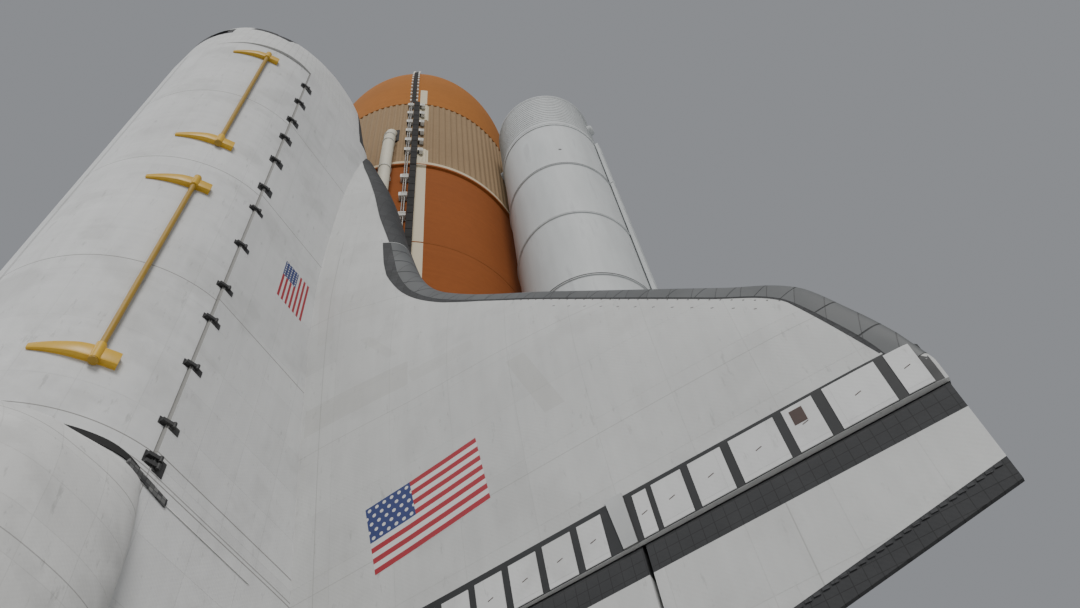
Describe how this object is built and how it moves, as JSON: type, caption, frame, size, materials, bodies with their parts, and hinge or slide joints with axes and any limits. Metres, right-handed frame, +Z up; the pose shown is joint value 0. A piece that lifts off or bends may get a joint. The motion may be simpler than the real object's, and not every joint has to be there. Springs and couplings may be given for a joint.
{
  "type": "space shuttle stack, half-size scale model",
  "caption": "Winged orbiter on an external tank between two boosters, nose up, with opening bay doors, hatch, control surfaces and gimballed engines.",
  "frame": {"origin": "centre of the whole stack's box, at the floor under the booster skirts", "axes": "+Z up, from the booster skirts to the tank's tip; +X to the orbiter's starboard side; -Y from the tank to the orbiter's tail fin"},
  "size_m": [11.8236, 11.7348, 27.3195],
  "materials": {
    "white_blanket": "matte",
    "black_tile": "matte",
    "carbon_edge": "matte",
    "window_glass": "gloss",
    "yellow_brace": "satin",
    "engine_metal": "satin",
    "orange_foam": "matte",
    "pale_foam": "matte",
    "booster_paint": "satin",
    "attach_steel": "satin",
    "dark_tray": "matte",
    "charred_liner": "matte"
  },
  "bodies": {
    "stack": {"nose_cap": "carbon_edge", "wing_leading_edge_right": "carbon_edge", "wing_leading_edge_left": "carbon_edge", "forward_fuselage": "white_blanket", "mid_fuselage": "white_blanket", "aft_fuselage": "white_blanket", "pod_right": "white_blanket", "pod_left": "white_blanket", "vertical_tail": "white_blanket", "tail_foot": "white_blanket", "tail_tip": "white_blanket", "wing_right": "white_blanket", "wing_left": "white_blanket", "cabin_windows": "window_glass", "flight_deck": "dark_tray", "tank_cable_tray": "dark_tray", "oxygen_tank": "orange_foam", "hydrogen_tank": "orange_foam", "intertank": "pale_foam", "oxygen_feedline": "attach_steel", "forward_bipod": "attach_steel", "aft_attach_frame": "attach_steel", "booster_case_right": "booster_paint", "booster_nose_right": "booster_paint", "booster_forward_skirt_right": "booster_paint", "booster_aft_skirt_right": "booster_paint", "booster_attach_ring_right": "booster_paint", "booster_tunnel_right": "booster_paint", "booster_case_left": "booster_paint", "booster_nose_left": "booster_paint", "booster_forward_skirt_left": "booster_paint", "booster_aft_skirt_left": "booster_paint", "booster_attach_ring_left": "booster_paint", "booster_tunnel_left": "booster_paint"},
    "crew_hatch": {"crew_hatch": "white_blanket"},
    "payload_door_right": {"payload_door_right": "white_blanket", "door_brace_forward_right": "yellow_brace", "door_brace_aft_right": "yellow_brace"},
    "payload_door_left": {"payload_door_left": "white_blanket", "door_brace_forward_left": "yellow_brace", "door_brace_aft_left": "yellow_brace"},
    "rudder": {"rudder_drive": "engine_metal"},
    "rudder_panel_right": {"rudder_panel_right": "white_blanket"},
    "rudder_panel_left": {"rudder_panel_left": "white_blanket"},
    "body_flap": {"body_flap": "black_tile"},
    "elevon_inner_right": {"elevon_inner_right": "white_blanket"},
    "elevon_inner_left": {"elevon_inner_left": "white_blanket"},
    "elevon_outer_right": {"elevon_outer_right": "white_blanket"},
    "elevon_outer_left": {"elevon_outer_left": "white_blanket"},
    "main_engine_upper": {"main_engine_upper": "engine_metal"},
    "main_engine_right": {"main_engine_right": "engine_metal"},
    "main_engine_left": {"main_engine_left": "engine_metal"},
    "pod_engine_right": {"pod_engine_right": "engine_metal"},
    "pod_engine_left": {"pod_engine_left": "engine_metal"},
    "booster_nozzle_right": {"booster_nozzle_right": "charred_liner"},
    "booster_nozzle_left": {"booster_nozzle_left": "charred_liner"}
  },
  "joints": [
    {"name": "crew_hatch_hinge", "type": "hinge", "parent": "stack", "child": "crew_hatch", "pos_m": [-1.2192, 0.21463, 15.78153], "axis": [0, 0, -1], "range_deg": [0, 90]},
    {"name": "payload_door_right_hinge", "type": "hinge", "parent": "stack", "child": "payload_door_right", "pos_m": [1.34914, -0.68453, 10.04113], "axis": [0, 0, 1], "range_deg": [0, 175.5]},
    {"name": "payload_door_left_hinge", "type": "hinge", "parent": "stack", "child": "payload_door_left", "pos_m": [-1.34914, -0.68453, 10.04113], "axis": [0, 0, -1], "range_deg": [0, 175.5]},
    {"name": "rudder_turn", "type": "hinge", "parent": "stack", "child": "rudder", "pos_m": [0, -3.97891, 2.17303], "axis": [0, -0.8209, -0.5711], "range_deg": [-27.1, 27.1]},
    {"name": "speed_brake_right", "type": "hinge", "parent": "rudder", "child": "rudder_panel_right", "pos_m": [0, -3.97891, 2.17303], "axis": [0, -0.8209, -0.5711], "range_deg": [0, 49.3]},
    {"name": "speed_brake_left", "type": "hinge", "parent": "rudder", "child": "rudder_panel_left", "pos_m": [0, -3.97891, 2.17303], "axis": [0, 0.8209, 0.5711], "range_deg": [0, 49.3]},
    {"name": "body_flap_hinge", "type": "hinge", "parent": "stack", "child": "body_flap", "pos_m": [0, 0.94869, 2.54813], "axis": [1, 0, 0], "range_deg": [-11.7, 22.55]},
    {"name": "elevon_inner_right_hinge", "type": "hinge", "parent": "stack", "child": "elevon_inner_right", "pos_m": [2.7432, 0.93847, 4.38963], "axis": [0.9987, -0.0509, 0], "range_deg": [-35, 20]},
    {"name": "elevon_outer_right_hinge", "type": "hinge", "parent": "stack", "child": "elevon_outer_right", "pos_m": [4.9403, 0.8264, 4.38963], "axis": [0.9987, -0.0509, 0], "range_deg": [-35, 20]},
    {"name": "elevon_inner_left_hinge", "type": "hinge", "parent": "stack", "child": "elevon_inner_left", "pos_m": [-2.7432, 0.93847, 4.38963], "axis": [0.9987, 0.0509, 0], "range_deg": [-35, 20]},
    {"name": "elevon_outer_left_hinge", "type": "hinge", "parent": "stack", "child": "elevon_outer_left", "pos_m": [-4.9403, 0.8264, 4.38963], "axis": [0.9987, 0.0509, 0], "range_deg": [-35, 20]},
    {"name": "main_engine_upper_gimbal", "type": "hinge", "parent": "stack", "child": "main_engine_upper", "pos_m": [0, -1.09601, 3.65303], "axis": [1, 0, 0], "range_deg": [-10.5, 10.5]},
    {"name": "main_engine_right_gimbal", "type": "hinge", "parent": "stack", "child": "main_engine_right", "pos_m": [0.6731, 0.17856, 3.35877], "axis": [1, 0, 0], "range_deg": [-10.5, 10.5]},
    {"name": "pod_engine_right_gimbal", "type": "hinge", "parent": "stack", "child": "pod_engine_right", "pos_m": [1.1176, -1.71831, 2.72593], "axis": [1, 0, 0], "range_deg": [-6, 6]},
    {"name": "booster_nozzle_right_gimbal", "type": "hinge", "parent": "stack", "child": "booster_nozzle_right", "pos_m": [3.18135, 3.72364, 1.04953], "axis": [1, 0, 0], "range_deg": [-8, 8]},
    {"name": "main_engine_left_gimbal", "type": "hinge", "parent": "stack", "child": "main_engine_left", "pos_m": [-0.6731, 0.17856, 3.35877], "axis": [1, 0, 0], "range_deg": [-10.5, 10.5]},
    {"name": "pod_engine_left_gimbal", "type": "hinge", "parent": "stack", "child": "pod_engine_left", "pos_m": [-1.1176, -1.71831, 2.72593], "axis": [1, 0, 0], "range_deg": [-6, 6]},
    {"name": "booster_nozzle_left_gimbal", "type": "hinge", "parent": "stack", "child": "booster_nozzle_left", "pos_m": [-3.18135, 3.72364, 1.04953], "axis": [1, 0, 0], "range_deg": [-8, 8]}
  ]
}
